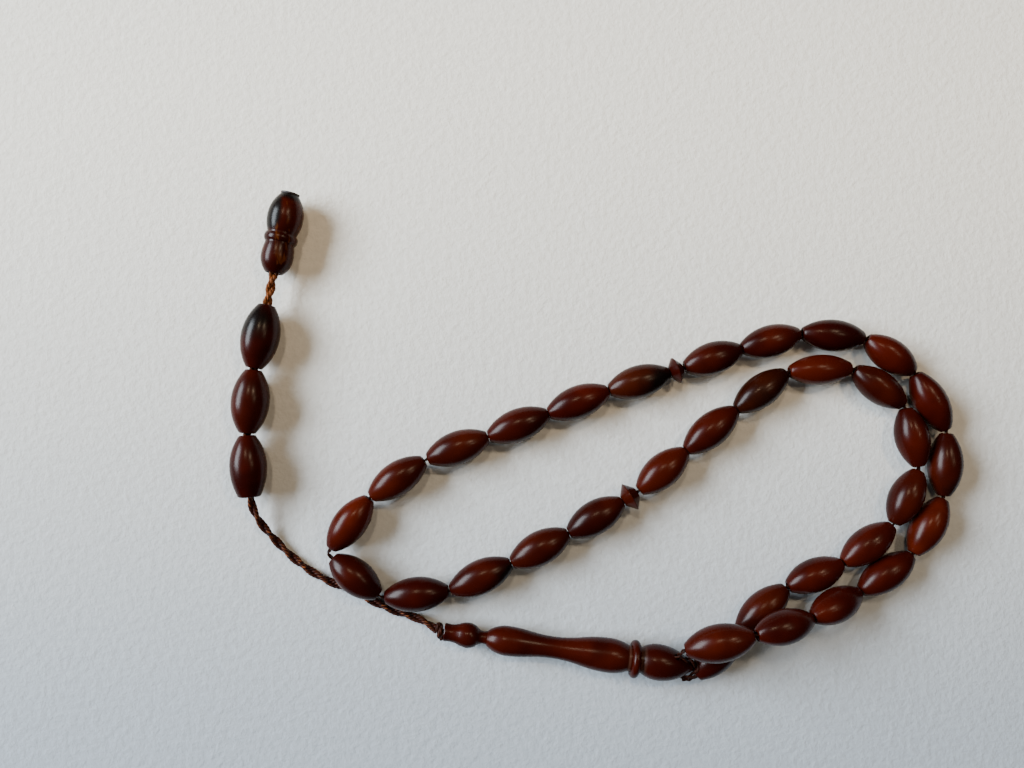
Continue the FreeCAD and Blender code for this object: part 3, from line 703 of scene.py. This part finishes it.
def disc_profile(width, rim_radius):
    """Outline of a marker disc: two cones that meet at a narrow rounded rim."""
    half = width / 2
    points = [(SINK, LOOP_BORE_RADIUS), (0.0, LOOP_BORE_RADIUS + SINK)]
    points += [(0.0, DISC_HUB - 0.08), (0.08, DISC_HUB + 0.06)]
    points += [(half - DISC_RIM / 2, rim_radius - 0.10), (half - DISC_RIM / 4, rim_radius - 0.01)]
    points += [(half + DISC_RIM / 4, rim_radius - 0.01), (half + DISC_RIM / 2, rim_radius - 0.10)]
    points += [(width - 0.08, DISC_HUB + 0.06), (width, DISC_HUB - 0.08)]
    points += [(width, LOOP_BORE_RADIUS + SINK), (width - SINK, LOOP_BORE_RADIUS)]
    return points


# ---------------------------------------------------------------- cords

STEP = 0.16  # between a yarn's rings
YARN_SIDES = 8
PLY_YARNS = 3
GOLD_SWELL = 0.10  # how much fatter the golden yarns are


def nurbs_line(name, points):
    """A smooth line through a route's points in mm, as its NURBS curve's own points in metres."""
    curve = bpy.data.curves.new(name, "CURVE")
    curve.dimensions = "3D"
    spline = curve.splines.new("NURBS")
    spline.points.add(len(points) - 1)
    for target, point in zip(spline.points, points):
        target.co = (*(point * MM), 1.0)
    spline.order_u = 3
    spline.use_endpoint_u = True
    spline.resolution_u = 24
    holder = bpy.data.objects.new(name, curve)
    bpy.context.scene.collection.objects.link(holder)
    mesh = bpy.data.meshes.new_from_object(holder)
    line = [vertex.co.copy() for vertex in mesh.vertices]
    bpy.data.objects.remove(holder)
    bpy.data.meshes.remove(mesh)
    bpy.data.curves.remove(curve)
    return line


def even_line(line, step):
    """The same line with points a step apart, in metres, and its length."""
    reach = [0.0]
    for here, there in zip(line, line[1:]):
        reach.append(reach[-1] + (there - here).length)
    total = reach[-1]
    count = max(int(round(total / step)), 2)
    points = []
    index = 0
    for number in range(count + 1):
        goal = total * number / count
        while index < len(reach) - 2 and reach[index + 1] < goal:
            index += 1
        span = (reach[index + 1] - reach[index]) or 1.0
        points.append(line[index].lerp(line[index + 1], (goal - reach[index]) / span))
    return points, total


def frames_along(points):
    """Way, side and up at each point, carried along the line without spin."""
    ways = []
    for index in range(len(points)):
        before, after = points[max(index - 1, 0)], points[min(index + 1, len(points) - 1)]
        ways.append((after - before).normalized())
    side = ways[0].cross(Vector((0, 0, 1)))
    side = side.normalized() if side.length > 1e-6 else Vector((1, 0, 0))
    frames = []
    for way in ways:
        side = (side - way * side.dot(way)).normalized()
        frames.append((way, side, way.cross(side)))
    return frames


class Yarns:
    """A mesh of twisted yarns under construction, with UVs in mm and the crown of each yarn, which places
    the painted highlight.
    """

    def __init__(self):
        self.vertices = []
        self.faces = []
        self.crown = []
        self.gold = []
        self.uv = []

    def add(self, centres, outward, radius, gold):
        """One yarn tube along its centres; outward points away from the cord's own line."""
        frames = frames_along(centres)
        first = len(self.vertices)
        run = 0.0
        for index, (centre, (way, side, up)) in enumerate(zip(centres, frames)):
            if index:
                run += (centre - centres[index - 1]).length / MM
            size = radius[index] * MM
            for number in range(YARN_SIDES):
                turn = 2 * math.pi * number / YARN_SIDES
                out = side * math.cos(turn) + up * math.sin(turn)
                self.vertices.append(centre + out * size)
                self.crown.append(max(0.0, out.dot(outward[index])))
                self.gold.append(gold[index])
                self.uv.append((number / YARN_SIDES, run))
        for index in range(len(centres) - 1):
            low = first + index * YARN_SIDES
            for number in range(YARN_SIDES):
                after = (number + 1) % YARN_SIDES
                self.faces.append(
                    (low + number, low + after, low + YARN_SIDES + after, low + YARN_SIDES + number)
                )
        last = len(self.vertices) - YARN_SIDES
        self.faces.append(tuple(range(first, first + YARN_SIDES))[::-1])
        self.faces.append(tuple(range(last, last + YARN_SIDES)))

    def build(self, name, material):
        mesh = bpy.data.meshes.new(name)
        mesh.from_pydata(self.vertices, [], self.faces)
        layer = mesh.uv_layers.new(name="UVMap")
        for face in mesh.polygons:
            for loop in face.loop_indices:
                layer.data[loop].uv = self.uv[mesh.loops[loop].vertex_index]
        for key, values in (("crown", self.crown), ("gold", self.gold)):
            stored = mesh.attributes.new(key, "FLOAT", "POINT")
            stored.data.foreach_set("value", values)
        piece = bpy.data.objects.new(name, mesh)
        bpy.context.scene.collection.objects.link(piece)
        finish_mesh(piece, 70.0)
        mesh.materials.append(material)
        return piece


def twisted(
    name, line, material, plies, lay, offset, yarn_lay, yarn_offset, yarn_radius, gold=None, girth=None
):
    """A cord of plies laid round each other, each ply of three yarns twisted the other way.

    lay, offset, gold and girth are functions of the station in mm along the cord.
    """
    points, total = even_line(line, STEP * MM)
    frames = frames_along(points)
    length = total / MM
    stations = [length * index / (len(points) - 1) for index in range(len(points))]
    turns = [0.0]
    for here, there in zip(stations, stations[1:]):
        turns.append(turns[-1] + 2 * math.pi * (there - here) / lay(here))
    golds = [gold(station) if gold else 0.0 for station in stations]
    girths = [girth(station) if girth else 1.0 for station in stations]
    yarns = Yarns()
    for ply in range(plies):
        ply_line = []
        for index, (point, (way, side, up)) in enumerate(zip(points, frames)):
            angle = turns[index] + 2 * math.pi * ply / plies
            out = side * math.cos(angle) + up * math.sin(angle)
            ply_line.append(point + out * (offset(stations[index]) * girths[index] * MM))
        ply_frames = frames_along(ply_line)
        for yarn in range(PLY_YARNS):
            centres, outward, radii = [], [], []
            for index, (way, side, up) in enumerate(ply_frames):
                angle = -2 * math.pi * stations[index] / yarn_lay + 2 * math.pi * yarn / PLY_YARNS
                out = side * math.cos(angle) + up * math.sin(angle)
                swell = (1.0 + GOLD_SWELL * golds[index]) * girths[index]
                centre = ply_line[index] + out * (yarn_offset * swell * MM)
                centres.append(centre)
                away = centre - points[index]
                outward.append(away.normalized() if away.length > 1e-9 else out)
                radii.append(yarn_radius * swell)
            yarns.add(centres, outward, radii, golds)
    return yarns.build(name, material), points, total


# The thread's two ways out of the imam, in the imam's own frame.
UPPER_WAY = [Vector((37.0, 0.47, 0.0)), Vector((38.6, 0.45, 0.25)), Vector((41.1, 2.25, 2.2))]
LOWER_WAY = [Vector((37.0, -0.47, 0.0)), Vector((39.8, -0.5, -0.05)), Vector((44.2, -3.15, -0.5))]
# The tail cord from the stopper knot to the lowest tail bead, lying on the table.
TAIL_ROUTE = [
    Vector((-38.6, -40.7, 1.5)),
    Vector((-42.2, -39.6, 0.85)),
    Vector((-47.5, -37.8, 0.85)),
    Vector((-54.9, -34.0, 0.85)),
    Vector((-60.5, -31.8, 0.85)),
    Vector((-66.4, -28.1, 0.85)),
    Vector((-71.8, -22.8, 1.0)),
    Vector((-75.4, -17.4, 3.1)),
]
# The slack turn of thread round the nose, from the upper hole to the lower one, in the same frame.
NOSE_WAY = [
    Vector((41.6, 2.0, 2.0)),
    Vector((43.4, 1.9, 1.7)),
    Vector((45.1, 1.2, 1.3)),
    Vector((46.1, 0.2, 0.7)),
    Vector((45.9, -1.1, 0.3)),
    Vector((44.8, -2.2, 0.0)),
    Vector((43.2, -2.9, -0.2)),
]
NEAR_CORNER = 1.4  # from a bead's end to the thread's next route point inside the bead
STOP_SHORT = 1.2  # from a fold to the end of a thread that does not cross it
RUN_PAST = 0.8  # from a fold to the end of a thread that crosses it
LOOSE_LENGTH = 9.0  # of thread by the imam whose plies gape
LOOSE = {"loop_cord_outer": 0.20, "loop_cord_inner": 0.20}  # how far they gape
THREAD_LAY = 4.2  # mm of cord for one turn of its plies
TAIL_LAY = 10.0
SHORT_LAY = 6.6
KNOT_LAY = 4.4
FINIAL_REACH = 0.8  # of the tail cord past the finial's mouth
GOLD_FADE = 0.8  # over which the tail cord turns golden
# Points of the knot from its middle: across the cord, along the imam and up.
KNOT_BAR = [
    (-1.75, -0.60, -0.2),
    (-0.9, -0.40, 0.1),
    (0.0, 0.0, 0.25),
    (0.9, 0.30, 0.15),
    (1.75, 0.50, -0.15),
]


def from_imam(points):
    """Points of the imam's own frame in mm, in the string's frame."""
    return [imam_frame @ (point * MM) / MM for point in points]


def through(pieces):
    """Route points of the thread through consecutive pieces, three at each junction."""
    points = []
    for before, piece in zip(pieces, pieces[1:]):
        reach = min(NEAR_CORNER, before.length / 3, piece.length / 3)
        points += [before.end - before.way * reach, piece.corner, piece.start + piece.way * reach]
    return points


def part_of(pieces, first, last):
    """The pieces of a strand from one node to another."""
    names = [piece.node for piece in pieces]
    return pieces[names.index(first) : names.index(last) + 1]


def inside_start(piece):
    """Route point of the thread just inside a piece's first end."""
    return piece.start + piece.way * NEAR_CORNER


def inside_end(piece):
    """Route point of the thread just inside a piece's second end."""
    return piece.end - piece.way * NEAR_CORNER


def add_loop_thread(material):
    """The loop's thread, one twisted length for each length of cord in the CAD model."""
    first, last = strung["bead_01"], strung["bead_33"]
    disc_1, disc_2 = strung["marker_disc_1"], strung["marker_disc_2"]
    bead_15, bead_16 = strung["bead_15"], strung["bead_16"]
    bead_17, bead_18, bead_19 = strung["bead_17"], strung["bead_18"], strung["bead_19"]
    runs = {
        "loop_cord_outer": from_imam(UPPER_WAY)
        + [first.start - first.way * 0.6, inside_start(first)]
        + through(part_of(outer, "bead_01", "marker_disc_1")),
        "loop_cord_upper": [disc_1.corner + disc_1.way * STOP_SHORT]
        + through(part_of(outer, "marker_disc_1", "bead_16"))[1:-2]
        + [bead_16.corner - bead_15.way * STOP_SHORT],
        "loop_cord_turn": [bead_16.corner - bead_15.way * RUN_PAST]
        + through(part_of(outer, "bead_15", "bead_17"))[1:]
        + [inside_end(bead_17), bead_17.end, far_corner(), bead_18.end]
        + [inside_end(bead_18), inside_start(bead_18), bead_18.corner]
        + [bead_18.corner - bead_19.way * RUN_PAST],
        "loop_cord_lower": [disc_2.corner + disc_2.way * STOP_SHORT]
        + through(part_of(inner, "marker_disc_2", "bead_19"))
        + [inside_end(bead_19), bead_18.corner - bead_19.way * STOP_SHORT],
        "loop_cord_inner": from_imam(LOWER_WAY)
        + [last.start - last.way * 0.5, inside_start(last)]
        + through(part_of(inner, "bead_33", "marker_disc_2")),
    }
    for node, points in runs.items():
        made, _points, _total = twisted(
            f"{node}_thread",
            nurbs_line(node, points),
            material,
            plies=2,
            lay=lambda station: THREAD_LAY,
            offset=lambda station: 0.21 + LOOSE.get(node, 0.0) * max(0.0, 1.0 - station / LOOSE_LENGTH),
            yarn_lay=1.7,
            yarn_offset=0.10,
            yarn_radius=0.13,
        )
        stand_for(made, node)


def add_nose_wrap(material):
    """The slack turn of loop thread that lies round the imam's nose, from one side hole to the other."""
    made, _points, _total = twisted(
        "nose_wrap_thread",
        nurbs_line("nose_wrap", from_imam(NOSE_WAY)),
        material,
        plies=2,
        lay=lambda station: THREAD_LAY,
        offset=lambda station: 0.32,
        yarn_lay=1.7,
        yarn_offset=0.14,
        yarn_radius=0.16,
    )
    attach(made, "imam")


def far_corner():
    """Where the bore lines of the two beads at the loop's far end cross."""
    first, second = strung["bead_17"], strung["bead_18"]
    a, b, gap = first.way, second.way, second.end - first.end
    reach = (gap.x * b.y - gap.y * b.x) / (a.x * b.y - a.y * b.x)
    return first.end + a * reach


def add_knot(material):
    """The stopper knot against the cap's mouth: a short fat bar of three plies across the cord."""
    down = imam_way.cross(Vector((0, 0, 1))).normalized()
    middle = knot_centre + imam_way * 0.35 - down * 0.05 + Vector((0, 0, 0.2))
    bar = [
        middle + down * across + imam_way * along + Vector((0, 0, up))
        for across, along, up in KNOT_BAR
    ]
    line = nurbs_line("cap_knot", bar)
    half = even_line(line, STEP * MM)[1] / MM / 2
    knot, _path, _total = twisted(
        "cap_knot_rope",
        line,
        material,
        plies=3,
        lay=lambda station: KNOT_LAY,
        offset=lambda station: 0.48,
        yarn_lay=2.3,
        yarn_offset=0.22,
        yarn_radius=0.29,
        girth=lambda station: 0.25 + 0.75 * max(1.0 - abs(station / half - 1.0) ** 3, 0.0) ** 0.5,
    )
    stand_for(knot, "cap_knot")
    return knot


def add_tail_cord(material, knot_material):
    """The two-ply tail cord from its knot to the finial, golden above the last tail bead."""
    leave = (TAIL_ROUTE[0] - knot_centre).normalized()
    last = tail[-1]
    points = [knot_centre + leave * 0.5] + TAIL_ROUTE
    points += [tail[0].start + tail[0].way * 0.4] + through(tail)
    points += [last.end - last.way * 1.5, last.end + last.way * 3.5]
    points += [finial_mouth + last.way * FINIAL_REACH]
    line = nurbs_line("tail_cord", points)
    total = even_line(line, STEP * MM)[1] / MM
    bare = total - SHORT_CORD_LENGTH - FINIAL_REACH

    def share(station):
        """How golden the cord is at a station: 0 as far as the last bead, 1 past it."""
        return min(max((station - bare) / GOLD_FADE + 0.5, 0.0), 1.0)

    made, path, length = twisted(
        "tail_cord_rope",
        line,
        material,
        plies=2,
        lay=lambda station: TAIL_LAY + (SHORT_LAY - TAIL_LAY) * share(station),
        offset=lambda station: 0.39 + 0.07 * share(station),
        yarn_lay=2.5,
        yarn_offset=0.26,
        yarn_radius=0.30,
        gold=share,
    )
    stand_for(made, "tail_cord")
    knot = add_knot(knot_material)


# ---------------------------------------------------------------- the table

PAPER_HALF = 1.5  # metres


def add_floor():
    """The sheet of paper the string lies on."""
    mesh = bpy.data.meshes.new("paper")
    side = PAPER_HALF
    corners = [(-side, -side, 0), (side, -side, 0), (side, side, 0), (-side, side, 0)]
    mesh.from_pydata(corners, [], [(0, 1, 2, 3)])
    floor = bpy.data.objects.new("paper", mesh)
    bpy.context.scene.collection.objects.link(floor)
    mesh.materials.append(paper_material())


# ---------------------------------------------------------------- run

add_camera()
add_lights()
thread = yarn_material("loop_thread", *THREAD_COLOURS)
rope = yarn_material("tail_rope", *ROPE_COLOURS, ROPE_GOLD)
add_tail_cord(rope, thread)
add_loop_thread(thread)
add_nose_wrap(thread)
add_beads(bead_material())
left_of_finial = Vector((-0.75, 0.15, 0.65)).normalized()
looks = {
    "imam": turned_material("imam_polished", IMAM_FOOT, imam_way, IMAM_LENGTH, IMAM_GROOVES),
    "tail_cap": turned_material("cap_polished", cap_mouth, imam_way, CAP_LENGTH, []),
    "finial": turned_material(
        "finial_polished", finial_mouth, finial_way, FINIAL_LENGTH, [], left_of_finial
    ),
    "finial_end_disc": end_disc_material(),
    "imam_cord": rope,
    "finial_cord": rope,
    "end_knot": rope,
}
for node, material in looks.items():
    dress(frame["nodes"][node], material)
add_floor()
